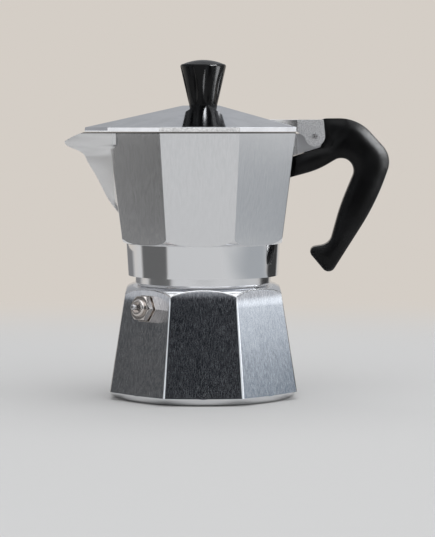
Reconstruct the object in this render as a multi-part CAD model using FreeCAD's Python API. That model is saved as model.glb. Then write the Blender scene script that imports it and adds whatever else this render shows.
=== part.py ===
import FreeCAD, Part
import math
import os

from FreeCAD import Vector

# A stove-top coffee maker in cast aluminium with an eight-sided boiler, a screwed-on collector with
# a pouring spout, a hinged lid and a black moulded handle. Millimetres, +Z up, the origin is the
# centre of the face that it rests on, +X points to the handle and -X to the spout.

# Eight-sided body
side_count = 8
boiler_twist = 2.2            # degrees that the boiler's faces stop past the collector's

# Boiler
foot_radius = 42.0            # flat round face that rests on the stove
foot_height = 3.3             # rounded edge under the faces
foot_bulge = 0.4
boiler_low_radius = 47.9      # corner radius at the foot
boiler_high_radius = 40.0     # corner radius at the shoulder
boiler_edge_round = 1.5
shoulder_edge_round = 1.2     # where the faces meet the shoulder
boiler_rim = 66.0             # top of the screwed neck
neck_radius = 32.4
neck_length = 11.7            # from the shoulder's end to the rim
thread_depth = 0.8            # the screwed length of the neck is smaller by this
shoulder_drop = 4.5           # height of the sloping shoulder
shoulder_bulge = 0.5          # how far the shoulder swells past a straight slope
boiler_floor = 3.4
boiler_wall = 3.0
neck_wall = 2.2               # behind the thread
bore_edge_round = 4.0

# Safety valve
valve_face = 5                # counted round from the handle's side
valve_drop = 6.3              # below the shoulder's corners
valve_off_centre = 3.3        # along its face, towards the front
valve_base_hex = 12.2         # across flats
valve_base_length = 3.7
valve_groove_width = 0.9
valve_groove_radius = 4.6
valve_nose_hex = 11.0         # across flats
valve_nose_length = 3.0
valve_nose_radius = 5.5       # round edge of the chamfered front
valve_chamfer = 0.8
valve_shank_radius = 4.5
valve_shank_length = 6.2
valve_boss_radius = 7.5
valve_boss_depth = 5.5
valve_chamber_radius = 2.6    # bore for the spring and plunger
valve_seat_thick = 1.5
valve_seat_radius = 1.5
valve_cap_radius = 4.0
valve_cap_length = 3.6
valve_cap_stand_out = 1.6
valve_cap_recess = 1.5
valve_cap_dish = 2.5
valve_cap_round = 1.0
plunger_radius = 2.3
plunger_thick = 1.2
plunger_stem_radius = 1.3
plunger_reach = 3.0           # stem end beyond the cap's front
spring_wire_radius = 0.3
spring_turns = 6
spring_arcs_per_turn = 2

# Funnel
flange_thick = 0.8
cup_wall = 0.8
cup_depth = 20.0
cone_drop = 6.0
sleeve_length = 5.5
stem_radius = 4.7
stem_wall = 0.7
stem_clear = 4.0              # gap from the stem's end to the boiler's floor
sieve_thick = 0.7
sieve_ledge = 1.0

# Gasket and filter plate
gasket_thick = 3.5
gasket_inset = 0.4            # smaller than the neck
gasket_width = 6.6
plate_lap = 2.6               # plate over the gasket's bore
plate_thick = 0.8
hole_radius = 1.0
hole_pitch = 5.6
hole_rings = 3
holes_added = 6               # more holes in each ring than in the one inside it

# Collector
collar_lap = 8.3              # collar laps the boiler's neck
collar_height = 15.2
collar_wall = 3.5
collar_flare = 0.9
bevel_rise = 3.5              # rounded underside between collar and faces
bevel_bulge = 0.5
chamber_low_radius = 41.0     # corner radius under the faces
chamber_high_radius = 47.7    # corner radius at the rim
chamber_height = 49.3
chamber_edge_round = 0.8
chamber_wall = 2.2
dome_rise = 2.9               # hollow above the filter plate
floor_thick = 3.0
column_low_radius = 9.0
column_high_radius = 6.2
column_height = 36.0
column_bore = 2.8
column_roof = 2.6
window_radius = 2.0

# Spout: keel points as (drop below the rim, reach out from the spout's face)
spout_keel = [
    (41.2, -0.1), (33.7, 4.5), (25.7, 8.1), (17.7, 11.6), (12.7, 13.9),
    (9.2, 16.5), (6.3, 22.6), (3.7, 23.6), (-0.3, 23.7),
]
crease_run = 12.5             # how far the spout's walls spread along the next faces
spout_sink = 0.5
keel_round = 1.3
spout_wall = 1.8
lip_from = 12.2               # reach where the lip starts to fall
lip_tip_drop = 5.3
lip_middle_drop = 1.9
lip_middle = 17.8

# Lid
lid_gap = 0.3
lid_overhang = 0.2            # corners past the collector's rim
lid_rim_height = 2.1
lid_rise = 10.3
lid_wall = 1.8
crown_radius = 8.3
beak_reach = 12.2             # lid's point over the spout
beak_half_width = 5.0
beak_edge = 0.6               # upright edge of the point's sides
beak_slope = 2.4              # width of the slope from that edge to the roof

# Knob
knob_low_radius = 6.65
knob_high_radius = 10.9
knob_height = 19.7
knob_dome = 2.0
knob_edge_round = 1.1
knob_turn = 15.4              # degrees from the handle's side to the first flute
flute_radius = 3.6
flute_depth = 1.0
flute_sweep = 36.0            # radius of the curve that the flute follows up the knob
flute_angle = 60.0            # degrees of that curve in the cutting shape
insert_radius = 3.4
insert_length = 9.5
screw_radius = 1.95
screw_length = 8.0
screw_head_radius = 4.4
screw_head_height = 2.2
screw_slot_width = 1.1
screw_slot_depth = 1.0

# Hinge
pin_out = 9.0                 # pin's distance from the collector's face at the rim
pin_drop = 1.8                # below the rim
pin_radius = 1.3
pin_stand_out = 0.5
lug_half = 4.75
lug_round = 4.6
lug_top = 1.2
lug_depth = 10.3              # at its root in the wall
lug_heel_out = 2.6
lug_heel_drop = 5.2
ear_thick = 2.0
ear_round = 4.85
ear_rise = 7.8
ear_nose = 4.1
ear_root = 22.0

# Handle: outline corners from the hinge pin, as (out, up, rounding)
handle_half = 7.25
handle_round = 2.2
tongue_half = 2.0             # middle of the handle, which goes into the lug's slot
tongue_back = 5.2
handle_outline = [
    (-14.0, -20.2, 0), (-14.0, -9.3, 0), (-tongue_back, -6.4, 1.5), (-tongue_back, 3.4, 4.0),
    (4.4, 8.4, 6.0), (20.4, 8.5, 20.0), (36.7, -9.6, 11.0), (29.5, -31.0, 120.0), (7.1, -66.6, 3.4),
    (-4.2, -53.2, 2.5), (7.2, -51.3, 6.0), (12.2, -33.0, 90.0), (25.0, -2.0, 6.0), (1.5, -16.0, 40.0),
]
arm_rebate = 2.0              # the arm's sides stop short of the collector by this
arm_neck_half = 5.0
pocket_round = 9.4
pocket_drop = 5.8
scoop_round = 12.5
scoop_out = 2.9
scoop_up = 9.1

# Clearances
turn_gap = 0.3                # between parts that turn or lift past each other
run_gap = 0.05                # hinge pin and valve stem in their holes
fit_gap = 0.05                # parts pushed or screwed together
overshoot = 2.0               # how far a cutting shape runs past the face that it opens
cutter_reach = 10.0           # how far it runs clear of the part

# Sizes and heights that follow from the ones above
neck_bore = neck_radius - thread_depth - neck_wall
flange_radius = neck_radius - thread_depth
gasket_radius = neck_radius - gasket_inset
gasket_bore = gasket_radius - gasket_width
plate_radius = gasket_bore + plate_lap
collar_low_radius = neck_radius + collar_wall
collar_high_radius = collar_low_radius + collar_flare
neck_foot = boiler_rim - neck_length
shoulder = neck_foot - shoulder_drop
flange_top = boiler_rim + flange_thick
gasket_top = flange_top + gasket_thick
plate_top = gasket_top + plate_thick
collar_bottom = boiler_rim - collar_lap
collar_top = collar_bottom + collar_height
chamber_bottom = collar_top + bevel_rise
chamber_top = chamber_bottom + chamber_height
chamber_floor = plate_top + dome_rise + floor_thick
lid_bottom = chamber_top + lid_gap
lid_rim_top = lid_bottom + lid_rim_height
lid_radius = chamber_high_radius + lid_overhang
crown = lid_rim_top + lid_rise
cup_floor = boiler_rim - cup_depth
cone_foot = cup_floor - cone_drop
cup_radius = neck_bore - turn_gap

half_side = math.pi / side_count
flat_share = math.cos(half_side)      # face distance as a share of the corner radius
arc_share = 1 - math.sqrt(0.5)        # how far a quarter arc's middle stands in from its corner
hex_sides = 6
axis_up = Vector(0, 0, 1)
origin = Vector(0, 0, 0)


def outline(start, *steps):
    """Wire in the XZ plane: two numbers run straight to a point, four make an arc to the last two."""
    edges = []
    here = Vector(start[0], 0, start[1])
    for step in steps:
        there = Vector(step[-2], 0, step[-1])
        if len(step) == 2:
            edges.append(Part.LineSegment(here, there).toShape())
        else:
            edges.append(Part.Arc(here, Vector(step[0], 0, step[1]), there).toShape())
        here = there
    first = Vector(start[0], 0, start[1])
    if here.distanceToPoint(first) > fit_gap:
        edges.append(Part.LineSegment(here, first).toShape())
    return Part.Wire(edges)


def corner_arc(start, corner, end):
    """Step of an outline: the quarter arc that rounds off a square corner."""
    middle = [c + arc_share * (a + b - 2 * c) for a, c, b in zip(start, corner, end)]
    return (*middle, *end)


def rounded_outline(corners, x, z):
    """Wire in the XZ plane about the point (x, z) through rounded corners (out, up, rounding)."""
    places = [Vector(x + out, 0, z + up) for out, up, rounding in corners]
    runs = []
    arcs = []
    for k, place in enumerate(places):
        back = (places[k - 1] - place).normalize()
        on = (places[(k + 1) % len(places)] - place).normalize()
        half_turn = back.getAngle(on) / 2
        rounding = corners[k][2]
        start = place + back * (rounding / math.tan(half_turn))
        end = place + on * (rounding / math.tan(half_turn))
        runs.append((start, end))
        if rounding > 0:
            middle = place + (back + on).normalize() * (rounding / math.sin(half_turn) - rounding)
            arcs.append(Part.Arc(start, middle, end).toShape())
    ahead = runs[1:] + runs[:1]
    lines = [Part.LineSegment(run[1], after[0]).toShape() for run, after in zip(runs, ahead)]
    return Part.Wire(Part.__sortEdges__(lines + arcs))


def spun(start, *steps):
    """Solid of revolution about Z."""
    return Part.Face(outline(start, *steps)).revolve(origin, axis_up, 360)


def slab(wire, half):
    """Plate of an XZ outline, as thick on both sides of Y = 0."""
    face = Part.Face(wire)
    face.translate(Vector(0, -half, 0))
    return face.extrude(Vector(0, 2 * half, 0))


def polygon(points, height):
    corners = [Vector(x, y, height) for x, y in points]
    return Part.makePolygon(corners + corners[:1])


def ring_points(radius, count=side_count):
    """Corners of a regular polygon with a flat side facing +X."""
    step = 2 * math.pi / count
    return [(radius * math.cos((k + 0.5) * step), radius * math.sin((k + 0.5) * step)) for k in range(count)]


def frustum(low_points, low, high_points, high):
    return Part.makeLoft([polygon(low_points, low), polygon(high_points, high)], True, True)


def tapered_body(low_radius, low, high_radius, high, bottom, top):
    """Eight-sided taper through two corner radii, carried on to the heights bottom and top."""
    slope = (high_radius - low_radius) / (high - low)
    at_bottom = low_radius + slope * (bottom - low)
    at_top = low_radius + slope * (top - low)
    return frustum(ring_points(at_bottom), bottom, ring_points(at_top), top)


def round_corners(body, rounding):
    """Rounds the edges that run upwards."""
    rising = [e for e in body.Edges if abs(e.Vertexes[0].Z - e.Vertexes[1].Z) > rounding]
    return body.makeFillet(rounding, rising)


def rod(radius, low, high, x=0, y=0):
    return Part.makeCylinder(radius, high - low, Vector(x, y, low))


def cross_rod(radius, half, x, z):
    """Cylinder along Y, centred on Y = 0."""
    return Part.makeCylinder(radius, 2 * half, Vector(x, -half, z), Vector(0, 1, 0))


def block(x0, x1, y0, y1, z0, z1):
    return Part.makeBox(x1 - x0, y1 - y0, z1 - z0, Vector(x0, y0, z0))


def perforations(low, high):
    """Rings of round holes about the axis, as one cutting shape."""
    holes = [rod(hole_radius, low, high)]
    for ring in range(1, hole_rings + 1):
        around = holes_added * ring
        for k in range(around):
            angle = 2 * math.pi * k / around
            x = ring * hole_pitch * math.cos(angle)
            y = ring * hole_pitch * math.sin(angle)
            holes.append(rod(hole_radius, low, high, x, y))
    return Part.makeCompound(holes)


def save(name, shape):
    solid = shape.removeSplitter()
    solid.exportStep("parts/" + name + ".step")


# Boiler: an eight-sided taper trimmed by a round foot and shoulder, with a screwed neck on top
def boiler_radius(height):
    rise = (height - foot_height) / (shoulder - foot_height)
    return boiler_low_radius + rise * (boiler_high_radius - boiler_low_radius)


def round_shoulder(body):
    """Rounds the edges where the faces meet the shoulder."""
    low = shoulder - shoulder_drop
    rims = [e for e in body.Edges if e.BoundBox.ZMin > low and e.BoundBox.ZMax < neck_foot - fit_gap]
    return body.makeFillet(shoulder_edge_round, rims)


def make_boiler():
    faces = tapered_body(boiler_low_radius, foot_height, boiler_high_radius, shoulder, 0, boiler_rim)
    faces.rotate(origin, axis_up, boiler_twist)
    faces = round_corners(faces, boiler_edge_round)
    foot_flat = boiler_low_radius * flat_share
    middle_radius = (neck_radius + boiler_high_radius) / 2 + shoulder_bulge
    middle_height = (neck_foot + shoulder) / 2 + shoulder_bulge
    wide = boiler_low_radius + overshoot
    high_slope = shoulder - (wide - boiler_high_radius) * shoulder_drop / (boiler_high_radius - neck_radius)
    trim = spun(
        (0, 0),
        (foot_radius, 0),
        (foot_flat - foot_bulge, foot_height / 2, foot_flat + fit_gap, foot_height - fit_gap),
        (wide, foot_height + turn_gap),
        (wide, high_slope),
        (boiler_high_radius, shoulder),
        (middle_radius, middle_height, neck_radius, neck_foot),
        (0, neck_foot),
    )
    body = round_shoulder(faces.common(trim))
    thread_foot = collar_bottom + turn_gap
    neck = spun(
        (0, neck_foot - overshoot),
        (neck_radius, neck_foot - overshoot),
        (neck_radius, thread_foot),
        (neck_radius - thread_depth, thread_foot),
        (neck_radius - thread_depth, boiler_rim),
        (0, boiler_rim),
    )
    boss = valve_place(rod(valve_boss_radius, -valve_boss_depth, -boiler_wall / 2))
    body = body.fuse(neck)
    body = body.fuse(boss)
    low_bore = boiler_low_radius * flat_share - boiler_wall
    high_bore = boiler_high_radius * flat_share - boiler_wall
    hollow = spun(
        (0, boiler_floor),
        (low_bore - bore_edge_round, boiler_floor),
        corner_arc((low_bore - bore_edge_round, boiler_floor), (low_bore, boiler_floor),
                   (low_bore, boiler_floor + bore_edge_round)),
        (high_bore, shoulder - overshoot),
        (neck_bore, neck_foot - boiler_wall / 2),
        (neck_bore, boiler_rim + overshoot),
        (0, boiler_rim + overshoot),
    )
    body = body.cut(hollow.cut(boss))
    return body.cut(valve_place(rod(valve_shank_radius + fit_gap, -valve_boss_depth - overshoot, overshoot)))


# Safety valve: built along its own axis from the boiler's face outwards, then set on the face
def valve_place(shape):
    height = shoulder - valve_drop
    turn = 2 * half_side * valve_face + math.radians(boiler_twist)
    slope = (boiler_low_radius - boiler_high_radius) * flat_share / (shoulder - foot_height)
    tilt = math.atan(slope)
    flat = boiler_radius(height) * flat_share
    out = Vector(math.cos(turn) * math.cos(tilt), math.sin(turn) * math.cos(tilt), math.sin(tilt))
    along = Vector(-math.sin(turn), math.cos(turn), 0)
    seat = Vector(flat * math.cos(turn), flat * math.sin(turn), height) + along * valve_off_centre
    place = FreeCAD.Placement(seat, FreeCAD.Rotation(along, out.cross(along), out, "ZXY"))
    placed = shape.copy()
    placed.Placement = place.multiply(placed.Placement)
    return placed


valve_nose_from = valve_base_length + valve_groove_width
valve_front = valve_nose_from + valve_nose_length
valve_cap_front = valve_front + valve_cap_stand_out
valve_cap_from = valve_cap_front - valve_cap_length
valve_chamber_from = valve_seat_thick - valve_shank_length


def hexagon(across_flats):
    """Corners of a hexagon with flat sides above and below."""
    step = 2 * math.pi / hex_sides
    corner = across_flats / 2 / math.cos(step / 2)
    return [(corner * math.cos(k * step), corner * math.sin(k * step)) for k in range(hex_sides)]


def make_valve_body():
    base = hexagon(valve_base_hex)
    nose = hexagon(valve_nose_hex)
    body = frustum(nose, valve_nose_from, nose, valve_front)
    body = body.common(spun(
        (0, valve_nose_from),
        (nose[0][0] + fit_gap, valve_nose_from),
        (nose[0][0] + fit_gap, valve_front - valve_chamfer),
        (valve_nose_radius, valve_front),
        (0, valve_front),
    ))
    body = body.fuse(frustum(base, 0, base, valve_base_length))
    body = body.fuse(rod(valve_groove_radius, 0, valve_front))
    body = body.fuse(rod(valve_shank_radius, -valve_shank_length, 0))
    body = body.cut(rod(valve_chamber_radius, valve_chamber_from, valve_front))
    body = body.cut(rod(valve_seat_radius, -valve_shank_length - overshoot, 0))
    return body.cut(rod(valve_cap_radius + fit_gap, valve_cap_from, valve_front + overshoot))


def make_valve_cap():
    side_top = valve_cap_front - valve_cap_round
    bore = plunger_stem_radius + run_gap
    dish_floor = valve_cap_front - valve_cap_recess
    return spun(
        (bore, valve_cap_from),
        (valve_cap_radius, valve_cap_from),
        (valve_cap_radius, side_top),
        corner_arc((valve_cap_radius, side_top), (valve_cap_radius, valve_cap_front),
                   (valve_cap_radius - valve_cap_round, valve_cap_front)),
        (valve_cap_dish, valve_cap_front),
        (valve_cap_dish, dish_floor),
        (bore, dish_floor),
    )


def make_valve_plunger():
    head_top = valve_chamber_from + plunger_thick
    tip = valve_cap_front + plunger_reach
    rounding = plunger_stem_radius / 2
    return spun(
        (0, valve_chamber_from),
        (plunger_radius, valve_chamber_from),
        (plunger_radius, head_top),
        (plunger_stem_radius, head_top),
        (plunger_stem_radius, tip - rounding),
        corner_arc((plunger_stem_radius, tip - rounding), (plunger_stem_radius, tip),
                   (plunger_stem_radius - rounding, tip)),
        (0, tip),
    )


def make_valve_spring():
    """One wire on biarcs of a helix between the plunger's head and the cap."""
    coil_radius = (plunger_stem_radius + valve_chamber_radius) / 2
    low = valve_chamber_from + plunger_thick + spring_wire_radius + fit_gap
    high = valve_cap_from - spring_wire_radius - fit_gap
    pitch = (high - low) / spring_turns
    turn_per_arc = 2 * math.pi / spring_arcs_per_turn
    angles = [k * turn_per_arc for k in range(spring_turns * spring_arcs_per_turn + 1)]

    def point(angle):
        rise = low + pitch * angle / (2 * math.pi)
        return Vector(coil_radius * math.cos(angle), coil_radius * math.sin(angle), rise)

    def heading(angle):
        rise = pitch / (2 * math.pi)
        return Vector(-coil_radius * math.sin(angle), coil_radius * math.cos(angle), rise).normalize()

    def arc(start, corner, end):
        chord_middle = (start + end) * 0.5
        depth = corner.distanceToPoint(chord_middle)
        half_chord = start.distanceToPoint(end) / 2
        side = start.distanceToPoint(corner)
        sagitta = half_chord * (side - half_chord) / depth
        middle = chord_middle + (corner - chord_middle).normalize() * sagitta
        return Part.Arc(start, middle, end).toShape()

    edges = []
    for first, last in zip(angles, angles[1:]):
        chord = point(last) - point(first)
        lean = heading(first) + heading(last)
        square = lean.dot(lean) - 4
        along = chord.dot(lean)
        reach = (along - math.sqrt(along * along - square * chord.dot(chord))) / square
        corner_a = point(first) + heading(first) * reach
        corner_b = point(last) - heading(last) * reach
        joint = (corner_a + corner_b) * 0.5
        edges.append(arc(point(first), corner_a, joint))
        edges.append(arc(joint, corner_b, point(last)))
    path = Part.Wire(edges)
    section = Part.Wire(Part.makeCircle(spring_wire_radius, point(0), heading(0)))
    print("spring gap", round(pitch - 2 * spring_wire_radius, 2), "mm between turns")
    return path.makePipeShell([section], True, False)


# Funnel: a flanged cup, the sieve on its ledge and the stem pushed into its sleeve
def make_funnel_cup():
    bore = cup_radius - cup_wall
    sleeve_bore = stem_radius + fit_gap
    sleeve = sleeve_bore + cup_wall
    sleeve_foot = cone_foot - sleeve_length
    return spun(
        (bore, flange_top),
        (flange_radius, flange_top),
        (flange_radius, boiler_rim),
        (cup_radius, boiler_rim),
        (cup_radius, cup_floor),
        (sleeve, cone_foot),
        (sleeve, sleeve_foot),
        (sleeve_bore, sleeve_foot),
        (sleeve_bore, cone_foot + cup_wall),
        (bore - sieve_ledge, cup_floor + cup_wall),
        (bore, cup_floor + cup_wall),
    )


def make_funnel_sieve():
    low = cup_floor + cup_wall
    disc = rod(cup_radius - cup_wall - fit_gap, low, low + sieve_thick)
    return disc.cut(perforations(low - overshoot, low + sieve_thick + overshoot))


def make_funnel_stem():
    low = boiler_floor + stem_clear
    tube = rod(stem_radius, low, cone_foot)
    return tube.cut(rod(stem_radius - stem_wall, low - overshoot, cone_foot + overshoot))


# Gasket and filter plate, held under the collector's floor
def make_gasket():
    ring = rod(gasket_radius, flange_top, gasket_top)
    return ring.cut(rod(gasket_bore, flange_top - overshoot, gasket_top + overshoot))


def make_filter_plate():
    disc = rod(plate_radius, gasket_top, plate_top)
    return disc.cut(perforations(gasket_top - overshoot, plate_top + overshoot))


# Collector: collar, eight-sided chamber, spout, hinge lug and the column that the coffee rises through
def chamber_radius(height):
    rise = (height - chamber_bottom) / chamber_height
    return chamber_low_radius + rise * (chamber_high_radius - chamber_low_radius)


def chamber_flat(height):
    return chamber_radius(height) * flat_share


def crease_point(height):
    """Where the spout's wall leaves the next face: from the corner, along that face."""
    root = chamber_top - spout_keel[0][0]
    share = (height - root) / (chamber_top - root)
    run = crease_run * share * math.sqrt(0.5)
    radius = chamber_radius(height)
    return -radius * flat_share + run, -radius * math.sin(half_side) - run


def spout_section(drop, reach, inset, rounding):
    height = chamber_top - drop
    sink = spout_sink * math.sqrt(0.5)
    crease_x, crease_y = crease_point(height)
    crease_x += sink
    crease_y += sink
    keel = -(chamber_flat(height) + reach)
    half_angle = math.atan2(-crease_y, crease_x - keel)
    keel += inset / math.sin(half_angle)
    crease_x += inset * math.sin(half_angle)
    crease_y += inset * math.cos(half_angle)
    run = rounding / math.tan(half_angle)
    touch_x = keel + run * math.cos(half_angle)
    touch_y = -run * math.sin(half_angle)
    nose = keel + rounding / math.sin(half_angle) - rounding
    back = -chamber_flat(height) / 2

    def at(x, y):
        return Vector(x, y, height)

    corners = [
        at(touch_x, -touch_y), at(crease_x, -crease_y), at(back, -crease_y),
        at(back, crease_y), at(crease_x, crease_y), at(touch_x, touch_y),
    ]
    edges = [Part.LineSegment(a, b).toShape() for a, b in zip(corners, corners[1:])]
    edges.append(Part.Arc(corners[-1], at(nose, 0), corners[0]).toShape())
    return Part.Wire(edges)


def spout_form(inset, rounding):
    sections = [spout_section(drop, reach, inset, rounding) for drop, reach in spout_keel]
    return Part.makeLoft(sections, True, False)


hinge_x = chamber_high_radius * flat_share + pin_out
hinge_z = chamber_top - pin_drop


def from_pin(points):
    return [tuple(v + (hinge_x, hinge_z)[k % 2] for k, v in enumerate(point)) for point in points]


def lug_outline(grow):
    radius = lug_round + grow
    top = lug_top + grow
    shoulder_x = -math.sqrt(radius * radius - top * top)
    inside = -pin_out - chamber_wall * 2
    return outline(*from_pin([
        (inside, top), (shoulder_x, top), (0, radius, radius, 0),
        (lug_heel_out + grow, -lug_heel_drop - grow), (inside, -lug_depth - grow),
    ]))


def make_lug():
    """Two cheeks on the collector's wall, with a slot between them for the handle's tongue."""
    cheeks = slab(lug_outline(0), lug_half)
    slot_half = tongue_half + turn_gap
    slot = block(
        hinge_x - tongue_back - turn_gap, hinge_x + cutter_reach, -slot_half, slot_half,
        hinge_z - lug_depth, hinge_z + cutter_reach)
    return cheeks.cut(slot)


def make_collector():
    body = tapered_body(
        chamber_low_radius, chamber_bottom, chamber_high_radius, chamber_top, collar_top, chamber_top)
    body = round_corners(body, chamber_edge_round)
    middle_radius = (collar_high_radius + chamber_low_radius) / 2 + bevel_bulge
    middle_height = (collar_top + chamber_bottom) / 2 - bevel_bulge
    wide = chamber_high_radius + overshoot
    underside = spun(
        (0, collar_top),
        (collar_high_radius, collar_top),
        (middle_radius, middle_height, chamber_low_radius, chamber_bottom),
        (wide, chamber_bottom + wide - chamber_low_radius),
        (wide, chamber_top),
        (0, chamber_top),
    )
    body = body.common(underside)
    collar = spun(
        (0, collar_bottom),
        (collar_low_radius, collar_bottom),
        (collar_high_radius, collar_top),
        (0, collar_top),
    )
    body = body.fuse(collar)
    body = body.fuse(spout_form(0, keel_round))
    body = body.fuse(make_lug())
    flat = chamber_high_radius * flat_share
    far = -(flat + spout_keel[-2][1] + cutter_reach)
    tip = -(flat + spout_keel[-2][1] + fit_gap)
    above = chamber_top + cutter_reach
    lip = outline(
        (-(flat + lip_from), chamber_top),
        (-(flat + lip_middle), chamber_top - lip_middle_drop, tip, chamber_top - lip_tip_drop),
        (far, chamber_top - lip_tip_drop),
        (far, above),
        (hinge_x + far, above),
        (hinge_x + far, chamber_top),
    )
    body = body.cut(slab(lip, chamber_high_radius))
    wall = chamber_wall / flat_share
    cavity = tapered_body(
        chamber_low_radius - wall, chamber_bottom, chamber_high_radius - wall, chamber_top,
        chamber_floor, chamber_top + overshoot)
    body = body.cut(cavity)
    body = body.cut(spout_form(spout_wall, keel_round / 2))
    seat = spun(
        (0, collar_bottom - overshoot),
        (neck_radius + turn_gap, collar_bottom - overshoot),
        (neck_radius + turn_gap, flange_top),
        (gasket_radius + run_gap, flange_top),
        (gasket_radius + run_gap, gasket_top),
        (plate_radius + run_gap, gasket_top),
        (plate_radius + run_gap, plate_top),
        (gasket_bore, plate_top),
        (column_bore, plate_top + dome_rise),
        (0, plate_top + dome_rise),
    )
    body = body.cut(seat)
    column_top = chamber_floor + column_height
    column = spun(
        (0, chamber_floor - floor_thick / 2),
        (column_low_radius, chamber_floor - floor_thick / 2),
        (column_low_radius, chamber_floor),
        (column_high_radius, column_top - column_high_radius / 2),
        corner_arc((column_high_radius, column_top - column_high_radius / 2),
                   (column_high_radius, column_top), (column_high_radius / 2, column_top)),
        (0, column_top),
    )
    bore_top = column_top - column_roof
    window = cross_rod(window_radius, column_low_radius, 0, bore_top - window_radius)
    column = column.cut(window)
    body = body.fuse(column)
    body = body.cut(rod(column_bore, plate_top, bore_top))
    return body.cut(cross_rod(pin_radius + fit_gap / 2, lug_half + overshoot, hinge_x, hinge_z))


# Handle: the grip's outline with rounded edges, a tongue on the hinge pin and an arm on the face
def chamber_grown(gap):
    """The collector's faces, moved outwards by a gap."""
    grow = gap / flat_share
    return tapered_body(
        chamber_low_radius + grow, chamber_bottom, chamber_high_radius + grow, chamber_top,
        collar_top, chamber_top)


def make_handle():
    body = slab(rounded_outline(handle_outline, hinge_x, hinge_z), handle_half)
    arm_end = hinge_x + handle_outline[0][0]
    rims = [e for e in body.Edges if e.BoundBox.YLength < run_gap and e.BoundBox.XMax > arm_end + run_gap]
    body = body.makeFillet(handle_round, rims)
    pocket = cross_rod(pocket_round, handle_half + overshoot, hinge_x, hinge_z)
    scoop = cross_rod(scoop_round, handle_half + overshoot, hinge_x + scoop_out, hinge_z + scoop_up)
    pocket = pocket.fuse(scoop)
    reach = scoop_round + scoop_out + overshoot
    low = hinge_z - pocket_drop
    high = hinge_z + 2 * reach
    pocket = pocket.common(block(
        hinge_x - reach, hinge_x + reach, -handle_half * 2, handle_half * 2, low, high))
    pocket = pocket.cut(block(
        hinge_x - reach, hinge_x + reach, -lug_half, lug_half, low - overshoot, high))
    body = body.cut(pocket)
    cheeks = slab(lug_outline(turn_gap), handle_half + overshoot)
    cheeks = cheeks.fuse(block(
        hinge_x - reach, hinge_x + lug_round + turn_gap, -handle_half * 2, handle_half * 2, hinge_z, high))
    tongue = block(
        hinge_x - tongue_back, hinge_x + cutter_reach, -tongue_half, tongue_half,
        hinge_z - 2 * lug_depth, high)
    body = body.cut(cheeks.cut(tongue))
    body = body.cut(chamber_grown(arm_rebate).cut(block(
        0, hinge_x, -arm_neck_half, arm_neck_half, collar_bottom, lid_bottom)))
    body = body.cut(chamber_grown(fit_gap))
    return body.cut(cross_rod(pin_radius + fit_gap / 2, handle_half, hinge_x, hinge_z))


def make_hinge_pin():
    half = lug_half + turn_gap + ear_thick + pin_stand_out
    return cross_rod(pin_radius, half, hinge_x, hinge_z)


# Lid: an eight-sided roof carried out over the spout, with two hinge ears
def beak_points(inset):
    """Corners of the lid's point at its edge, and higher up where its sloping sides end."""
    crease_x, crease_y = crease_point(chamber_top)
    tip = -(chamber_high_radius * flat_share + beak_reach) + inset
    width = beak_half_width - inset / 2
    root_x = crease_x + inset
    root_y = -crease_y - inset
    lean = math.atan2(root_y - width, root_x - tip)
    in_x = beak_slope * math.sin(lean)
    in_y = beak_slope * math.cos(lean)
    ridge = width - beak_slope / math.cos(lean)
    edge = [(root_x, -root_y), (root_x, root_y), (tip, width), (tip, -width)]
    top = [(root_x + in_x, in_y - root_y), (root_x + in_x, root_y - in_y), (tip, ridge), (tip, -ridge)]
    return edge, top


def lid_roof(inset, bottom, eaves, top):
    """Rim and roof of the lid, drawn in by a wall thickness for its hollow."""
    rim = ring_points(lid_radius - inset / flat_share)
    peak = ring_points(crown_radius - inset / flat_share)
    share = (crown_radius - inset / flat_share) / (lid_radius - inset / flat_share)
    roof = frustum(rim, bottom, rim, eaves).fuse(frustum(rim, eaves, peak, top))
    edge, slope_top = beak_points(inset)
    edge_top = lid_bottom + beak_edge - inset / 2
    beak_peak = [(x * share, y * share) for x, y in slope_top]
    beak = frustum(edge, bottom, edge, edge_top)
    beak = beak.fuse(frustum(edge, edge_top, slope_top, eaves))
    beak = beak.fuse(frustum(slope_top, eaves, beak_peak, top))
    return roof.fuse(beak)


def make_lid():
    body = lid_roof(0, lid_bottom, lid_rim_top, crown)
    slant = ear_round * math.sqrt(0.5)
    clear = chamber_high_radius * flat_share + turn_gap * 2 - hinge_x
    ear = outline(*from_pin([
        (-ear_root, lid_bottom - hinge_z),
        (-ear_root, ear_rise),
        (ear_nose, ear_rise),
        (ear_round, 0),
        (slant, -slant, 0, -ear_round),
        (-slant, -slant, -ear_round, -turn_gap),
        (clear, lid_bottom - hinge_z),
    ]))
    plate = slab(ear, lug_half + turn_gap + ear_thick)
    plate = plate.cut(block(
        hinge_x - ear_root - overshoot, hinge_x + ear_round + overshoot, -lug_half - turn_gap,
        lug_half + turn_gap, hinge_z - 2 * ear_round, hinge_z + 2 * ear_rise))
    body = body.fuse(plate)
    hollow = lid_roof(lid_wall, lid_bottom - overshoot, lid_rim_top - lid_wall / 2, crown - lid_wall)
    body = body.cut(hollow)
    body = body.cut(rod(screw_radius + run_gap, crown - 2 * lid_wall, crown + overshoot))
    return body.cut(cross_rod(pin_radius + run_gap, handle_half * 2, hinge_x, hinge_z))


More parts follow.
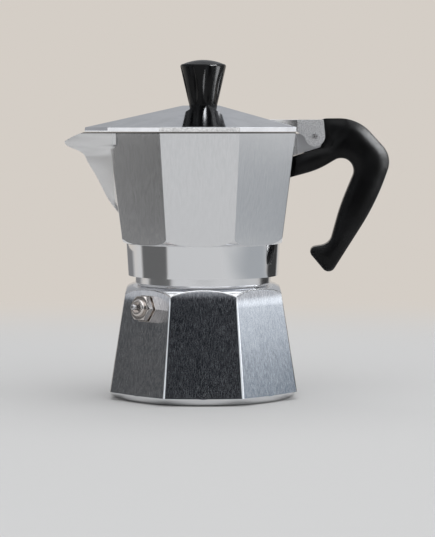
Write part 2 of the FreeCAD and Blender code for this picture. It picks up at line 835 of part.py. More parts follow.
# Knob: a cone widening upwards with eight flutes and a domed top, a brass insert and a screw from below
def make_flute(turn):
    """Cutting shape that sinks into the knob's side half-way up and leaves it at both ends."""
    lean = math.atan2(knob_high_radius - knob_low_radius, knob_height)
    inward = Vector(-math.cos(lean), 0, math.sin(lean))
    middle = Vector((knob_low_radius + knob_high_radius) / 2, 0, crown + knob_height / 2)
    hub = middle - inward * (flute_sweep + flute_radius - flute_depth)
    across = Vector(0, 1, 0)
    ring = Part.makeCircle(flute_radius, hub + inward * flute_sweep, across.cross(inward))
    end = Part.Face(Part.Wire(ring))
    end.rotate(hub, across, -flute_angle / 2)
    flute = end.revolve(hub, across, flute_angle)
    flute.rotate(origin, axis_up, turn)
    return flute


def make_knob():
    top = crown + knob_height
    edge = knob_high_radius
    rim = edge - knob_edge_round
    dome_radius = (rim * rim + knob_dome * knob_dome) / (2 * knob_dome)
    dome_middle = top + knob_dome - dome_radius + math.sqrt(dome_radius * dome_radius - rim * rim / 4)
    body = spun(
        (0, crown),
        (knob_low_radius, crown),
        (edge, top - knob_edge_round),
        corner_arc((edge, top - knob_edge_round), (edge, top), (rim, top)),
        (rim / 2, dome_middle, 0, top + knob_dome),
    )
    for k in range(side_count):
        body = body.cut(make_flute(knob_turn + k * 360 / side_count))
    return body.cut(rod(insert_radius + fit_gap / 2, crown - overshoot, crown + insert_length))


def make_knob_insert():
    return rod(insert_radius, crown, crown + insert_length).cut(
        rod(screw_radius + fit_gap / 2, crown - overshoot, crown + insert_length - lid_wall / 2))


def make_knob_screw():
    seat = crown - lid_wall
    shank = rod(screw_radius, seat, crown + screw_length)
    head = spun(
        (0, seat),
        (screw_head_radius, seat),
        (screw_head_radius, seat - screw_head_height / 2),
        corner_arc((screw_head_radius, seat - screw_head_height / 2),
                   (screw_head_radius, seat - screw_head_height),
                   (screw_head_radius - screw_head_height / 2, seat - screw_head_height)),
        (0, seat - screw_head_height),
    )
    slot = block(
        -screw_head_radius, screw_head_radius, -screw_slot_width / 2, screw_slot_width / 2,
        seat - screw_head_height, seat - screw_head_height + screw_slot_depth)
    return shank.fuse(head).cut(slot)


os.makedirs("parts", exist_ok=True)
save("boiler", make_boiler())
save("valve_body", valve_place(make_valve_body()))
save("valve_cap", valve_place(make_valve_cap()))
save("valve_plunger", valve_place(make_valve_plunger()))
save("valve_spring", valve_place(make_valve_spring()))
save("funnel_cup", make_funnel_cup())
save("funnel_sieve", make_funnel_sieve())
save("funnel_stem", make_funnel_stem())
save("gasket", make_gasket())
save("filter_plate", make_filter_plate())
save("collector", make_collector())
save("handle", make_handle())
save("hinge_pin", make_hinge_pin())
save("lid", make_lid())
save("knob", make_knob())
save("knob_insert", make_knob_insert())
save("knob_screw", make_knob_screw())
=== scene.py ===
import math

import bmesh
import bpy
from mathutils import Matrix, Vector


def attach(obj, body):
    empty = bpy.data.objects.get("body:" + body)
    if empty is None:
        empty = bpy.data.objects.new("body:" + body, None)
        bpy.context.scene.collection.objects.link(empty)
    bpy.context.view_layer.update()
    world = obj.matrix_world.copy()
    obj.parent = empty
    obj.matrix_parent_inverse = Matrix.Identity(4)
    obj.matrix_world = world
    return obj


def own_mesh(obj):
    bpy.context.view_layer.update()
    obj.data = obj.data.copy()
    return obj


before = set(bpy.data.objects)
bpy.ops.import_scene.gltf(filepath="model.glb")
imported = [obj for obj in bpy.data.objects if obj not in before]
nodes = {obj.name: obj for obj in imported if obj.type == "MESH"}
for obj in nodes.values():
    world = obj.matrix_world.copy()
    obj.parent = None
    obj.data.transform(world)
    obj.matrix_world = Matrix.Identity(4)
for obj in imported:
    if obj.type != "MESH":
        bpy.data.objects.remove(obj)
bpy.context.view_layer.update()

# Boiler
# The cast aluminium base that holds the water. Its eight faces are linished upright on a belt, its edges,
# foot and shoulder are polished, and its neck is screw-cut for the collar. The faces' grey is darker
# than the cast metal: partly the satin's own tone, and partly painted shade for the dark room they mirror.
# The first two greys are darker than the cast metal: partly its own satin tone, partly painted shade.
shaded_face_grey = (0.34, 0.355, 0.385, 1.0)
shaded_face_pale = (0.44, 0.455, 0.485, 1.0)
face_worn = (0.62, 0.63, 0.65, 1.0)
polished_grey = (0.82, 0.825, 0.84, 1.0)
boiler_twist = 2.2                     # degrees that its faces are turned from the collector's
foot_ends = (0.0032, 0.0034)           # heights between which the turned foot gives way to the faces
neck_starts = (0.0539, 0.0543)
shoulder_tilt = (0.30, 0.55)           # how far a surface looks up where the turned shoulder starts
edge_turn = (3.0, 9.0)                 # degrees off a face where the polished edge starts
tone_steps = (0.12, 0.42)
speckle_steps = (0.46, 0.66)
speckle_share = 0.30
scratch_steps = (0.42, 0.62)
scratch_share = 0.6
belt_steps = (0.32, 0.68)
belt_roughness = (0.16, 0.26)
lathe_roughness = (0.09, 0.17)
belt_pull = 0.8                        # how far the belt's marks draw out a reflection
belt_relief = 0.000005
crown_from = 0.0446                    # height where the faces start to lean in towards the shoulder
crown_bend = 11.0
thread_root = 0.0315
thread_sunk = 0.0003                   # how deep the ridge's foot goes into the neck
thread_crest = 0.0323
thread_low = 0.0594
thread_high = 0.0646
thread_pitch = 0.0035
thread_half_root = 0.0010
thread_half_crest = 0.0003
thread_steps = 120                     # flats in one turn


def give(tree, socket, value):
    """Links another node's output to a socket, or sets a constant there."""
    if isinstance(value, bpy.types.NodeSocket):
        tree.links.new(value, socket)
    else:
        socket.default_value = value


def add(tree, kind, inputs=None, **settings):
    """One shader node, with its settings, and its sockets set or linked."""
    node = tree.nodes.new(kind)
    for name, value in settings.items():
        setattr(node, name, value)
    for socket, value in (inputs or {}).items():
        give(tree, node.inputs[socket], value)
    return node


def math_node(tree, operation, first, second=0.0, clamp=False):
    node = add(tree, "ShaderNodeMath", {0: first, 1: second}, operation=operation, use_clamp=clamp)
    return node.outputs[0]


def times(tree, first, second):
    return math_node(tree, "MULTIPLY", first, second)


def minus(tree, first, second):
    return math_node(tree, "SUBTRACT", first, second)


def larger(tree, first, second):
    return math_node(tree, "MAXIMUM", first, second)


def inverse(tree, share):
    return minus(tree, 1.0, share)


def blend_values(tree, share, low, high):
    """A value that goes from low to high with share."""
    node = add(tree, "ShaderNodeMix", {"Factor": share, "A": low, "B": high}, data_type="FLOAT")
    return node.outputs["Result"]


def blend_colours(tree, share, low, high):
    """A colour that goes from low to high with share."""
    node = add(tree, "ShaderNodeMix", {0: share, 6: low, 7: high}, data_type="RGBA")
    return node.outputs[2]


def step_up(tree, value, start, end):
    """0 below start, 1 above end, smooth between."""
    node = add(tree, "ShaderNodeMapRange", {"Value": value, "From Min": start, "From Max": end},
               interpolation_type="SMOOTHSTEP")
    return node.outputs["Result"]


def effect_group(name, inputs, outputs):
    """A shader node group with value inputs and outputs; returns its tree, input node and output node."""
    tree = bpy.data.node_groups.new(name, "ShaderNodeTree")
    for label, value in inputs:
        socket = tree.interface.new_socket(label, in_out="INPUT", socket_type="NodeSocketFloat")
        socket.default_value = value
    for label in outputs:
        tree.interface.new_socket(label, in_out="OUTPUT", socket_type="NodeSocketFloat")
    return tree, tree.nodes.new("NodeGroupInput"), tree.nodes.new("NodeGroupOutput")


def noise(tree, place, scale, detail, roughness):
    node = add(tree, "ShaderNodeTexNoise", {
        "Vector": place, "Scale": scale, "Detail": detail, "Roughness": roughness})
    return node.outputs["Fac"]


def make_linishing():
    """Belt marks that run along Z: fine lines, and broader bands of tone."""
    tree, given, result = effect_group(
        "linishing", [("Across", 2600.0), ("Along", 26.0)], ["Lines", "Bands"])
    band_stretch = (0.11, 0.11, 0.3)
    place = add(tree, "ShaderNodeTexCoord").outputs["Object"]
    stretch = add(tree, "ShaderNodeCombineXYZ", {
        "X": given.outputs["Across"], "Y": given.outputs["Across"], "Z": given.outputs["Along"]})
    drawn = add(tree, "ShaderNodeVectorMath", {0: place, 1: stretch.outputs[0]}, operation="MULTIPLY")
    wide = add(tree, "ShaderNodeVectorMath", {0: drawn.outputs[0], 1: band_stretch}, operation="MULTIPLY")
    give(tree, result.inputs["Lines"], noise(tree, drawn.outputs[0], 1.0, 5.0, 0.65))
    give(tree, result.inputs["Bands"], noise(tree, wide.outputs[0], 1.0, 3.0, 0.6))
    return tree


def make_turning():
    """Lathe rings about the Z axis: lines that change with height and distance from the axis."""
    tree, given, result = effect_group("turning", [("Rings", 3000.0)], ["Lines"])
    place = add(tree, "ShaderNodeTexCoord").outputs["Object"]
    parts = add(tree, "ShaderNodeSeparateXYZ", {0: place})
    flat = add(tree, "ShaderNodeCombineXYZ", {"X": parts.outputs["X"], "Y": parts.outputs["Y"]})
    radius = add(tree, "ShaderNodeVectorMath", {0: flat.outputs[0]}, operation="LENGTH").outputs["Value"]
    ring = add(tree, "ShaderNodeCombineXYZ", {"X": radius, "Z": parts.outputs["Z"]})
    scaled = add(tree, "ShaderNodeVectorMath", {0: ring.outputs[0], "Scale": given.outputs["Rings"]},
                 operation="SCALE")
    give(tree, result.inputs["Lines"], noise(tree, scaled.outputs[0], 1.0, 3.0, 0.6))
    return tree


def make_casting():
    """The fine dimples of a sand-blasted casting, and slow clouds of tone."""
    tree, given, result = effect_group("casting", [("Grain", 2200.0)], ["Dimples", "Clouds"])
    place = add(tree, "ShaderNodeTexCoord").outputs["Object"]
    cloud_grain = 70.0
    give(tree, result.inputs["Dimples"], noise(tree, place, given.outputs["Grain"], 4.0, 0.7))
    give(tree, result.inputs["Clouds"], noise(tree, place, cloud_grain, 4.0, 0.6))
    return tree


linishing = make_linishing()
turning = make_turning()
casting = make_casting()


def effect(tree, group, **inputs):
    return add(tree, "ShaderNodeGroup", inputs, node_tree=group).outputs


def new_finish(name):
    """A material, its node tree and its shader."""
    material = bpy.data.materials.new(name)
    material.use_nodes = True
    tree = material.node_tree
    return material, tree, tree.nodes["Principled BSDF"]


def feed(tree, shader, **sockets):
    """Sets or links the shader's sockets by name, with _ for a space."""
    for name, value in sockets.items():
        give(tree, shader.inputs[name.replace("_", " ")], value)


def relief(tree, height, depth, normal=None):
    """Small unevenness of a surface, in metres."""
    node = add(tree, "ShaderNodeBump", {"Height": height, "Distance": depth})
    if normal:
        tree.links.new(normal, node.inputs["Normal"])
    return node.outputs[0]


def split(tree, vector):
    return add(tree, "ShaderNodeSeparateXYZ", {0: vector}).outputs


def place_and_facing(tree):
    """Where a point of the piece is, and which way its surface faces, both as X, Y and Z."""
    coordinates = add(tree, "ShaderNodeTexCoord").outputs
    return split(tree, coordinates["Object"]), split(tree, coordinates["Normal"])


def off_face(tree, facing, twist):
    """How far the surface turns away from the nearest of eight faces, in degrees."""
    angle = math_node(tree, "ARCTAN2", facing["Y"], facing["X"])
    eighths = times(tree, minus(tree, angle, math.radians(twist)), 4 / math.pi)
    nearest = math_node(tree, "ROUND", eighths)
    return times(tree, math_node(tree, "ABSOLUTE", minus(tree, eighths, nearest)), 45.0)


def dress(node, material):
    """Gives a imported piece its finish."""
    mesh = nodes[node].data
    mesh.materials.clear()
    mesh.materials.append(material)


def boiler_finish():
    material, tree, shader = new_finish("boiler_cast")
    belt = effect(tree, linishing, Across=2700.0, Along=130.0)
    cast = effect(tree, casting, Grain=2600.0)
    rings = effect(tree, turning, Rings=2600.0)
    place, facing = place_and_facing(tree)

    foot = inverse(tree, step_up(tree, place["Z"], *foot_ends))
    shoulder = step_up(tree, facing["Z"], *shoulder_tilt)
    neck = step_up(tree, place["Z"], *neck_starts)
    lathe = larger(tree, foot, larger(tree, shoulder, neck))
    edge = step_up(tree, off_face(tree, facing, boiler_twist), *edge_turn)
    polished = larger(tree, lathe, edge)

    tone = step_up(tree, times(tree, belt["Bands"], cast["Clouds"]), *tone_steps)
    scratch = times(tree, step_up(tree, belt["Lines"], *scratch_steps), scratch_share)
    speckle = times(tree, step_up(tree, cast["Dimples"], *speckle_steps), speckle_share)
    # The faces' grey: the satin's own tone, darkened further as painted shade for the dark room they
    # mirror.
    dull = blend_colours(tree, tone, shaded_face_grey, shaded_face_pale)
    dull = blend_colours(tree, scratch, dull, face_worn)
    dull = blend_colours(tree, speckle, dull, polished_grey)
    colour = blend_colours(tree, polished, dull, polished_grey)

    rough = blend_values(tree, step_up(tree, belt["Lines"], *belt_steps), *belt_roughness)
    rough = blend_values(tree, polished, rough, blend_values(tree, rings["Lines"], *lathe_roughness))

    faces = math_node(tree, "ADD", belt["Lines"], times(tree, cast["Dimples"], 0.25))
    bump = blend_values(tree, polished, faces, times(tree, rings["Lines"], 0.25))
    lean = larger(tree, minus(tree, place["Z"], crown_from), 0.0)
    crown = times(tree, times(tree, lean, lean), -crown_bend)
    crown = times(tree, crown, inverse(tree, lathe))
    feed(tree, shader, Base_Color=colour, Roughness=rough, Metallic=1.0, Anisotropic=belt_pull,
         Normal=relief(tree, bump, belt_relief, relief(tree, crown, 1.0)))
    return material


def link_mesh(name, shape):
    """A new piece from a bmesh, with its faces turned outwards."""
    mesh = bpy.data.meshes.new(name)
    bmesh.ops.recalc_face_normals(shape, faces=shape.faces)
    shape.to_mesh(mesh)
    shape.free()
    piece = bpy.data.objects.new(name, mesh)
    bpy.context.scene.collection.objects.link(piece)
    return piece


def make_neck_thread():
    """One right-hand ridge round the neck that runs out at both ends."""
    turns = (thread_high - thread_low) / thread_pitch
    count = int(turns * thread_steps)
    run_out = thread_steps // 6
    foot = thread_root - thread_sunk
    shape = bmesh.new()
    rings = []
    for k in range(count + 1):
        angle = 2 * math.pi * k / thread_steps
        middle = thread_low + thread_pitch * k / thread_steps
        share = min(1.0, k / run_out, (count - k) / run_out)
        crest = thread_root + (thread_crest - thread_root) * share
        profile = [
            (foot, -thread_half_root), (crest, -thread_half_crest),
            (crest, thread_half_crest), (foot, thread_half_root)]
        rings.append([
            shape.verts.new((radius * math.cos(angle), radius * math.sin(angle), middle + rise))
            for radius, rise in profile])
    for one, two in zip(rings, rings[1:]):
        for side in range(4):
            shape.faces.new((one[side], one[side - 1], two[side - 1], two[side]))
    shape.faces.new(rings[0])
    shape.faces.new(rings[-1][::-1])
    return link_mesh("neck_thread", shape)


boiler_cast = boiler_finish()
dress("boiler", boiler_cast)
neck_thread = make_neck_thread()
neck_thread.data.materials.append(boiler_cast)
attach(neck_thread, "base")

# Safety valve
# A nickel-plated brass body screwed through one face of the boiler, with a turned cap pressed into its
# front. The end of a plunger shows in the cap's hole; in the real valve it shortens the spring behind the
# cap as it lifts, and here the spring is only given a mesh of its own.
nickel_warm = (0.60, 0.56, 0.53, 1.0)
nickel_pale = (0.74, 0.70, 0.67, 1.0)
steel_dark = (0.52, 0.52, 0.53, 1.0)
steel_pale = (0.70, 0.70, 0.71, 1.0)
mark_steps = (0.42, 0.62)
stain_steps = (0.35, 0.65)
mark_relief = 0.000003


def softened(tree, radius):
    """Normals that round off the edges of a piece, as polishing and moulding do."""
    return add(tree, "ShaderNodeBevel", {"Radius": radius}, samples=6).outputs[0]


def plated_finish(name, low, high, smooth, rough, rounding):
    """Plated or drawn metal with small marks of handling."""
    material, tree, shader = new_finish(name)
    cast = effect(tree, casting, Grain=1400.0)
    marks = step_up(tree, cast["Dimples"], *mark_steps)
    colour = blend_colours(tree, step_up(tree, cast["Clouds"], *stain_steps), low, high)
    feed(tree, shader, Base_Color=colour, Metallic=1.0, Roughness=blend_values(tree, marks, smooth, rough),
         Normal=relief(tree, cast["Dimples"], mark_relief, softened(tree, rounding)))
    return material


valve_nickel = plated_finish(
    "valve_nickel", nickel_warm, nickel_pale, smooth=0.12, rough=0.24, rounding=0.0003)
drawn_steel = plated_finish(
    "drawn_steel", steel_dark, steel_pale, smooth=0.16, rough=0.32, rounding=0.0003)
dress("valve_body", valve_nickel)
dress("valve_cap", valve_nickel)
dress("valve_plunger", drawn_steel)
dress("valve_spring", drawn_steel)

spring = nodes["valve_spring"]
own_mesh(spring)

# Funnel
# A basket spun from thin aluminium sheet, with a pressed sieve on its ledge and a tube pushed into its
# sleeve. It drops into the boiler's neck and hangs by its flange. The filter plate is pressed likewise.
spun_dark = (0.60, 0.60, 0.61, 1.0)
spun_pale = (0.76, 0.76, 0.77, 1.0)
spun_roughness = (0.22, 0.42)
spun_relief = 0.000015


def spun_finish():
    material, tree, shader = new_finish("spun_aluminium")
    rings = effect(tree, turning, Rings=2200.0)
    cast = effect(tree, casting, Grain=900.0)
    feed(tree, shader, Base_Color=blend_colours(tree, cast["Clouds"], spun_dark, spun_pale), Metallic=1.0,
         Roughness=blend_values(tree, rings["Lines"], *spun_roughness),
         Normal=relief(tree, rings["Lines"], spun_relief))
    return material


spun_aluminium = spun_finish()
for piece in ("funnel_cup", "funnel_sieve", "funnel_stem", "filter_plate"):
    dress(piece, spun_aluminium)

# Gasket
# A moulded ring of white rubber pressed into the collector's underside. It seals on the boiler's rim and
# keeps the filter plate in.
rubber_dark = (0.72, 0.70, 0.64, 1.0)
rubber_pale = (0.84, 0.82, 0.77, 1.0)
rubber_roughness = (0.50, 0.70)
rubber_relief = 0.00002


def gasket_finish():
    material, tree, shader = new_finish("gasket_rubber")
    cast = effect(tree, casting, Grain=800.0)
    feed(tree, shader, Base_Color=blend_colours(tree, cast["Clouds"], rubber_dark, rubber_pale),
         Roughness=blend_values(tree, cast["Dimples"], *rubber_roughness),
         Normal=relief(tree, cast["Dimples"], rubber_relief))
    return material


dress("gasket", gasket_finish())

# Collector
# The cast upper pot that the coffee rises into. Its faces are linished upright to a pale satin, its collar
# and the bevel over it are polished, and its spout, lug and inside keep the blasted skin of the casting.
# A painted shadow darkens the top of its rim, in the gap under the lid.
satin_low = (0.765, 0.77, 0.785, 1.0)
satin_high = (0.82, 0.825, 0.84, 1.0)
satin_steps = (0.34, 0.66)
satin_rough_steps = (0.30, 0.70)
satin_roughness = (0.20, 0.25)
satin_pull = 0.75
satin_relief = 0.0000003
# painted shadow for the gap between the lid and the rim
painted_gap_shadow = (0.10, 0.10, 0.10, 1.0)
blasted_grey = (0.56, 0.56, 0.575, 1.0)
blasted_pale = (0.90, 0.90, 0.905, 1.0)
blasted_roughness = 0.46
blasted_relief = 35.0                  # how much deeper its dimples are than the satin's lines
collar_roughness = (0.04, 0.09)
collar_ends = (0.0728, 0.0731)
bevel_tilt = (-0.55, -0.30)            # how far the bevel over the collar looks down
bevel_ends = (0.0790, 0.0800)
gap_shadow_heights = (0.1252, 0.1253)            # the painted shadow in the gap under the lid
rim_tilt = (0.3, 0.6)                  # how far the rim's top looks up, where the painted shadow stops
inside_from = -0.001                   # a surface that faces the axis is inside
spout_from = -0.0400                   # the spout's walls stand out beyond this
spout_walls = (-0.0430, -0.0410)
spout_roughness = 0.45
lip_foot = 0.1198
lip_height = 0.0055
lip_lean = 0.0022
lip_curve = 1.5
hinge_from = (0.0447, 0.0453)          # the hinge's cheeks and ears stand out beyond this


def collector_finish():
    material, tree, shader = new_finish("collector_cast")
    belt = effect(tree, linishing, Across=2200.0, Along=14.0)
    cast = effect(tree, casting, Grain=1500.0)
    rings = effect(tree, turning, Rings=2600.0)
    place, facing = place_and_facing(tree)

    collar = inverse(tree, step_up(tree, place["Z"], *collar_ends))
    bevel = times(tree, inverse(tree, step_up(tree, facing["Z"], *bevel_tilt)),
                  inverse(tree, step_up(tree, place["Z"], *bevel_ends)))
    polished = larger(tree, collar, bevel)
    outward = math_node(tree, "ADD", times(tree, place["X"], facing["X"]),
                        times(tree, place["Y"], facing["Y"]))
    inside = math_node(tree, "LESS_THAN", outward, inside_from)
    wall = inverse(tree, step_up(tree, place["X"], *spout_walls))
    lug = step_up(tree, place["X"], *hinge_from)
    # Painted shadow: a dark band round the top of the rim, under the lid's edge.
    gap_shadow = times(tree, step_up(tree, place["Z"], *gap_shadow_heights),
                 inverse(tree, step_up(tree, facing["Z"], *rim_tilt)))

    colour = blend_colours(tree, step_up(tree, belt["Lines"], *satin_steps), satin_low, satin_high)
    colour = blend_colours(tree, wall, colour, blasted_pale)
    colour = blend_colours(tree, polished, colour, polished_grey)
    colour = blend_colours(tree, inside, colour, blasted_grey)
    colour = blend_colours(tree, lug, colour, blasted_grey)
    # the painted gap shadow goes on last
    colour = blend_colours(tree, gap_shadow, colour, painted_gap_shadow)

    rough = blend_values(tree, step_up(tree, belt["Lines"], *satin_rough_steps), *satin_roughness)
    rough = blend_values(tree, wall, rough, spout_roughness)
    rough = blend_values(tree, polished, rough, blend_values(tree, rings["Lines"], *collar_roughness))
    rough = blend_values(tree, larger(tree, inside, lug), rough, blasted_roughness)

    bump = blend_values(tree, polished, belt["Lines"], times(tree, rings["Lines"], 0.1))
    bump = blend_values(tree, inside, bump, times(tree, cast["Dimples"], blasted_relief))
    spout = times(tree, inverse(tree, inside), math_node(tree, "LESS_THAN", place["X"], spout_from))
    above = minus(tree, place["Z"], lip_foot)
    up_lip = math_node(tree, "DIVIDE", above, lip_height, clamp=True)
    lip = times(tree, math_node(tree, "POWER", up_lip, lip_curve), lip_lean)
    feed(tree, shader, Base_Color=colour, Roughness=rough, Metallic=1.0, Anisotropic=satin_pull,
         Normal=relief(tree, bump, satin_relief, relief(tree, times(tree, lip, spout), 1.0)))
    return material


dress("collector", collector_finish())

# Handle and hinge pin
# A black heat-proof moulding with a semi-gloss skin. Its tongue goes between two cheeks on the collector,
# and one drawn steel pin holds the cheeks, the tongue and the lid's ears together.
moulding_black = (0.0012, 0.0012, 0.0015, 1.0)
moulding_worn = (0.0024, 0.0025, 0.0030, 1.0)
wear_steps = (0.35, 0.70)
moulding_roughness = (0.20, 0.27)
moulding_gloss = 0.20
moulding_relief = 0.000005


def moulding_finish(name, rounding):
    material, tree, shader = new_finish(name)
    cast = effect(tree, casting, Grain=1700.0)
    worn = step_up(tree, cast["Clouds"], *wear_steps)
    feed(tree, shader, Base_Color=blend_colours(tree, worn, moulding_black, moulding_worn),
         Roughness=blend_values(tree, worn, *moulding_roughness), Specular_IOR_Level=moulding_gloss,
         Normal=relief(tree, cast["Dimples"], moulding_relief, softened(tree, rounding)))
    return material


dress("handle", moulding_finish("handle_moulding", rounding=0.0075))
dress("hinge_pin", plated_finish(
    "pin_steel", steel_dark, steel_pale, smooth=0.24, rough=0.36, rounding=0.0004))

# Lid
# A cast roof with mirror-polished facets, hinged on two ears that keep a blasted skin, and drawn out to a
# point over the spout. Its hollow underside is left as cast.
lid_low = (0.74, 0.75, 0.775, 1.0)
lid_high = (0.84, 0.85, 0.875, 1.0)
lid_steps = (0.34, 0.66)
lid_rough_steps = (0.40, 0.66)
lid_roughness = (0.05, 0.10)
lid_relief = 0.000010
lid_depths = (0.06, 3.0)               # of the dimples in the polish and in the blasted skin
lid_rounding = 0.0003
skin_steps = (0.40, 0.60)
skin_roughness = 0.45
underside_tilt = (-0.5, -0.3)


def lid_finish():
    material, tree, shader = new_finish("lid_cast")
    cast = effect(tree, casting, Grain=2000.0)
    place, facing = place_and_facing(tree)
    under = inverse(tree, step_up(tree, facing["Z"], *underside_tilt))
    blasted = larger(tree, under, step_up(tree, place["X"], *hinge_from))
    polish = blend_colours(tree, step_up(tree, cast["Clouds"], *lid_steps), lid_low, lid_high)
    skin = blend_colours(tree, step_up(tree, cast["Dimples"], *skin_steps), blasted_grey, blasted_pale)
    rough = blend_values(tree, step_up(tree, cast["Dimples"], *lid_rough_steps), *lid_roughness)
    bump = times(tree, cast["Dimples"], blend_values(tree, blasted, *lid_depths))
    feed(tree, shader, Base_Color=blend_colours(tree, blasted, polish, skin), Metallic=1.0,
         Roughness=blend_values(tree, blasted, rough, skin_roughness),
         Normal=relief(tree, bump, lid_relief, softened(tree, lid_rounding)))
    return material


dress("lid", lid_finish())

# Knob
# A round black moulding with eight flutes, on a turned brass insert, held by a steel screw from inside
# the lid.
brass_dark = (0.58, 0.44, 0.20, 1.0)
brass_pale = (0.74, 0.58, 0.30, 1.0)
dress("knob", moulding_finish("knob_moulding", rounding=0.0006))
dress("knob_insert", plated_finish(
    "insert_brass", brass_dark, brass_pale, smooth=0.16, rough=0.34, rounding=0.0003))
dress("knob_screw", drawn_steel)

# Studio
# A pale floor that runs back into a pale wall, soft lamps overhead, small lamps for the black mouldings,
# and cards that only the pot's polish shows. The camera stands at the photograph's place: level with the
# lid's rim, a little to the handle's side.
floor_colour = (0.68, 0.67, 0.655, 1.0)
front_colour = (0.655, 0.66, 0.665, 1.0)
wall_colour = (0.66, 0.615, 0.565, 1.0)
floor_half = 12.0
floor_drop = 0.0003
floor_fade = (0.18, 0.55)              # distance from the pot where the lit floor turns into backdrop
wall_fade = (0.0, 0.6)
black = (0.0, 0.0, 0.0, 1.0)
card_black = (0.01, 0.01, 0.01, 1.0)
card_dark = (0.05, 0.05, 0.05, 1.0)
card_grey = (0.14, 0.14, 0.14, 1.0)
card_low_grey = (0.22, 0.22, 0.225, 1.0)
card_blue_grey = (0.41, 0.43, 0.45, 1.0)
card_white = (0.95, 0.95, 0.96, 1.0)
card_edge = (0.55, 0.545, 0.54, 1.0)
lamp_colour = (0.97, 0.985, 1.0)
room_colour = (0.020, 0.022, 0.026, 1.0)
horizon_colour = (1.0, 0.99, 0.97, 1.0)
window_colour = (0.80, 0.84, 0.88, 1.0)
sky_low = (0.21, 0.28, 0.35, 1.0)
sky_high = (1.90, 1.97, 2.04, 1.0)
ceiling_left = (0.34, 0.345, 0.36, 1.0)
ceiling_right = (0.44, 0.45, 0.47, 1.0)
image_width = 435
image_height = 537
metres_per_pixel = 0.000479
axis_pixel_x = 203.3
base_pixel_y = 395.0
camera_distance = 1.0
camera_height = 0.128
camera_swing = math.radians(2.1)
sensor = 36.0


def background_rays(tree):
    """1 for what the camera sees, directly, in metal and through glass."""
    rays = add(tree, "ShaderNodeLightPath").outputs
    seen = larger(tree, rays["Is Camera Ray"], rays["Is Glossy Ray"])
    return larger(tree, seen, rays["Is Transmission Ray"])


def make_floor():
    """A floor that is lit near the pot and a plain backdrop farther off."""
    shape = bmesh.new()
    bmesh.ops.create_grid(shape, x_segments=1, y_segments=1, size=floor_half)
    floor = link_mesh("floor", shape)
    floor.location.z = -floor_drop
    material, tree, shader = new_finish("floor_paper")
    feed(tree, shader, Base_Color=floor_colour, Roughness=0.9, Specular_IOR_Level=0.1)
    place = add(tree, "ShaderNodeTexCoord").outputs["Object"]
    distance = add(tree, "ShaderNodeVectorMath", {0: place}, operation="LENGTH").outputs["Value"]
    far = times(tree, step_up(tree, distance, *floor_fade), background_rays(tree))
    back = step_up(tree, split(tree, place)["Y"], *wall_fade)
    pale = blend_colours(tree, back, front_colour, wall_colour)
    glow = add(tree, "ShaderNodeEmission", {"Color": pale}).outputs[0]
    both = add(tree, "ShaderNodeMixShader", {0: far, 1: shader.outputs[0], 2: glow}).outputs[0]
    tree.links.new(both, tree.nodes["Material Output"].inputs["Surface"])
    floor.data.materials.append(material)


def make_flag(name, place, turn, width, height, soft, colour, lean=90.0, soft_ends=0.001, edge=card_edge):
    """A card that stands or lies near the pot and shows only in its polish, with soft sides."""
    shape = bmesh.new()
    bmesh.ops.create_grid(shape, x_segments=1, y_segments=1, size=0.5)
    flag = link_mesh(name, shape)
    flag.scale = (width, height, 1.0)
    flag.location = place
    flag.rotation_euler = (math.radians(lean), 0.0, math.radians(turn))
    flag.visible_camera = False
    flag.visible_diffuse = False
    flag.visible_shadow = False
    material, tree, shader = new_finish(name)
    card = split(tree, add(tree, "ShaderNodeTexCoord").outputs["Object"])
    side = step_up(tree, math_node(tree, "ABSOLUTE", card["X"]), 0.5 - soft, 0.5)
    end = step_up(tree, math_node(tree, "ABSOLUTE", card["Y"]), 0.5 - soft_ends, 0.5)
    shade = blend_colours(tree, larger(tree, side, end), colour, edge)
    feed(tree, shader, Base_Color=black, Roughness=1.0, Specular_IOR_Level=0.0,
         Emission_Color=shade, Emission_Strength=1.0)
    flag.data.materials.append(material)


def make_soft_box(name, place, aim, width, height, power, only=()):
    """A soft lamp, which may light only some of the pieces."""
    light = bpy.data.lights.new(name, "AREA")
    light.shape = "RECTANGLE"
    light.size = width
    light.size_y = height
    light.energy = power
    light.color = lamp_colour
    lamp = bpy.data.objects.new(name, light)
    lamp.location = place
    lamp.rotation_euler = (Vector(aim) - Vector(place)).to_track_quat("-Z", "Y").to_euler()
    lamp.visible_camera = False
    bpy.context.scene.collection.objects.link(lamp)
    if only:
        lamp.visible_diffuse = False
        lamp.light_linking.receiver_collection = bpy.data.collections.new(name)
        for node in only:
            lamp.light_linking.receiver_collection.objects.link(nodes[node])


def span(tree, value, low, high, soft):
    """1 between low and high, 0 outside, with soft ends."""
    rise = step_up(tree, value, low - soft, low + soft)
    fall = inverse(tree, step_up(tree, value, high - soft, high + soft))
    return times(tree, rise, fall)


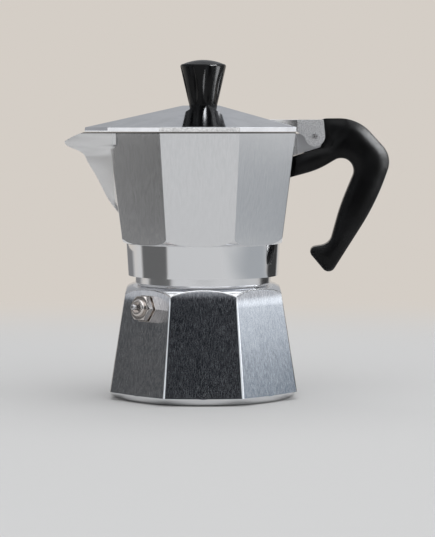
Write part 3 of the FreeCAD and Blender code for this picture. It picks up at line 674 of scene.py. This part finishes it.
def make_world():
    """A dim room with a pale ceiling and back wall, windows all round, and bright sky on the handle's side.

    Angles are in radians from straight in front of the pot, and heights go from 0 at the horizon to 1
    overhead.
    """
    world = bpy.data.worlds.new("studio")
    world.use_nodes = True
    bpy.context.scene.world = world
    tree = world.node_tree
    look = split(tree, add(tree, "ShaderNodeTexCoord").outputs["Generated"])
    around = math_node(tree, "ARCTAN2", look["X"], times(tree, look["Y"], -1.0))
    aside = math_node(tree, "ABSOLUTE", around)
    behind = step_up(tree, aside, 1.95, 2.25)

    front_windows = times(tree, span(tree, aside, 0.45, 1.10, soft=0.08),
                          span(tree, look["Z"], 0.08, 0.40, soft=0.02))
    side_windows = times(tree, span(tree, aside, 1.10, 2.00, soft=0.08),
                         span(tree, look["Z"], 0.22, 0.45, soft=0.03))
    windows = larger(tree, front_windows, side_windows)

    higher_in_front = times(tree, inverse(tree, step_up(tree, aside, 0.4, 0.7)), 0.12)
    ceiling = step_up(tree, minus(tree, look["Z"], higher_in_front), 0.30, 0.38)
    ceiling_colour = blend_colours(tree, step_up(tree, look["X"], -0.45, 0.05), ceiling_left, ceiling_right)

    sky = times(tree, span(tree, around, 1.15, 1.95, soft=0.08),
                span(tree, look["Z"], 0.06, 0.50, soft=0.02))
    sky_colour = blend_colours(tree, step_up(tree, look["Z"], 0.088, 0.150), sky_low, sky_high)

    horizon = times(tree, inverse(tree, step_up(tree, look["Z"], 0.014, 0.028)),
                    inverse(tree, step_up(tree, aside, 0.7, 1.0)))
    wall = times(tree, behind, inverse(tree, step_up(tree, look["Z"], 0.14, 0.22)))

    colour = blend_colours(tree, windows, room_colour, window_colour)
    colour = blend_colours(tree, larger(tree, behind, ceiling), colour, ceiling_colour)
    colour = blend_colours(tree, sky, colour, sky_colour)
    colour = blend_colours(tree, horizon, colour, horizon_colour)
    colour = blend_colours(tree, wall, colour, wall_colour)
    tree.links.new(colour, tree.nodes["Background"].inputs["Color"])


def make_camera():
    camera = bpy.data.objects.new("camera", bpy.data.cameras.new("camera"))
    toward = Vector((math.sin(camera_swing), -math.cos(camera_swing), 0.0))
    right = Vector((math.cos(camera_swing), math.sin(camera_swing), 0.0))
    aim = right * ((image_width / 2 - axis_pixel_x) * metres_per_pixel)
    aim.z = (base_pixel_y - image_height / 2) * metres_per_pixel
    camera.location = toward * camera_distance + Vector((0.0, 0.0, camera_height))
    camera.rotation_euler = (aim - camera.location).to_track_quat("-Z", "Y").to_euler()
    camera.data.sensor_width = sensor
    camera.data.lens = sensor * (aim - camera.location).length / (image_height * metres_per_pixel)
    camera.data.clip_end = 4 * floor_half
    bpy.context.scene.collection.objects.link(camera)
    bpy.context.scene.camera = camera


make_floor()
make_flag("left_flag", (-0.28, -0.0925, 0.0475), turn=90.0, width=0.285, height=0.095, soft=0.10,
          colour=card_grey)
make_flag("left_low_flag", (-0.14, 0.22, 0.0275), turn=90.0, width=0.32, height=0.055, soft=0.12,
          colour=card_low_grey)
make_flag("right_flag", (0.33, 0.27, 0.03), turn=-50.0, width=0.34, height=0.06, soft=0.22,
          colour=card_dark)
make_flag("front_flag", (0.10, -1.15, 0.059), turn=0.0, width=0.70, height=0.118, soft=0.22,
          colour=card_black)
make_flag("handle_flag", (0.13, -1.14, 0.10), turn=0.0, width=0.18, height=0.20, soft=0.05,
          colour=card_black)
make_flag("right_low_flag", (0.47, -0.04, 0.002), turn=0.0, width=0.56, height=0.80, soft=0.35,
          colour=card_blue_grey, lean=0.0, soft_ends=0.40, edge=front_colour)
make_flag("left_rim_flag", (-0.25, -0.01, 0.1275), turn=90.0, width=0.16, height=0.045, soft=0.20,
          colour=card_white)
make_flag("right_rim_flag", (0.25, -0.03, 0.1275), turn=90.0, width=0.16, height=0.045, soft=0.20,
          colour=card_white)
make_world()
make_soft_box("key_box", (0.1, -0.35, 1.1), aim=(0.0, 0.0, 0.0), width=1.6, height=1.6, power=9.0)
make_soft_box("back_box", (0.1, 0.8, 1.4), aim=(0.1, 0.6, 0.0), width=1.6, height=0.6, power=4.0)
make_soft_box("handle_box", (0.55, -0.35, 0.50), aim=(0.07, 0.0, 0.11), width=0.45, height=0.30,
              power=22.0, only=["handle", "knob"])
make_soft_box("handle_strip", (0.50, -0.28, 0.15), aim=(0.07, 0.0, 0.10), width=0.14, height=0.50,
              power=8.0, only=["handle"])
make_soft_box("knob_strip", (0.30, -0.02, 0.06), aim=(0.0, 0.0, 0.15), width=0.10, height=0.10,
              power=0.40, only=["knob"])
make_camera()
bpy.context.scene.view_settings.view_transform = "Standard"
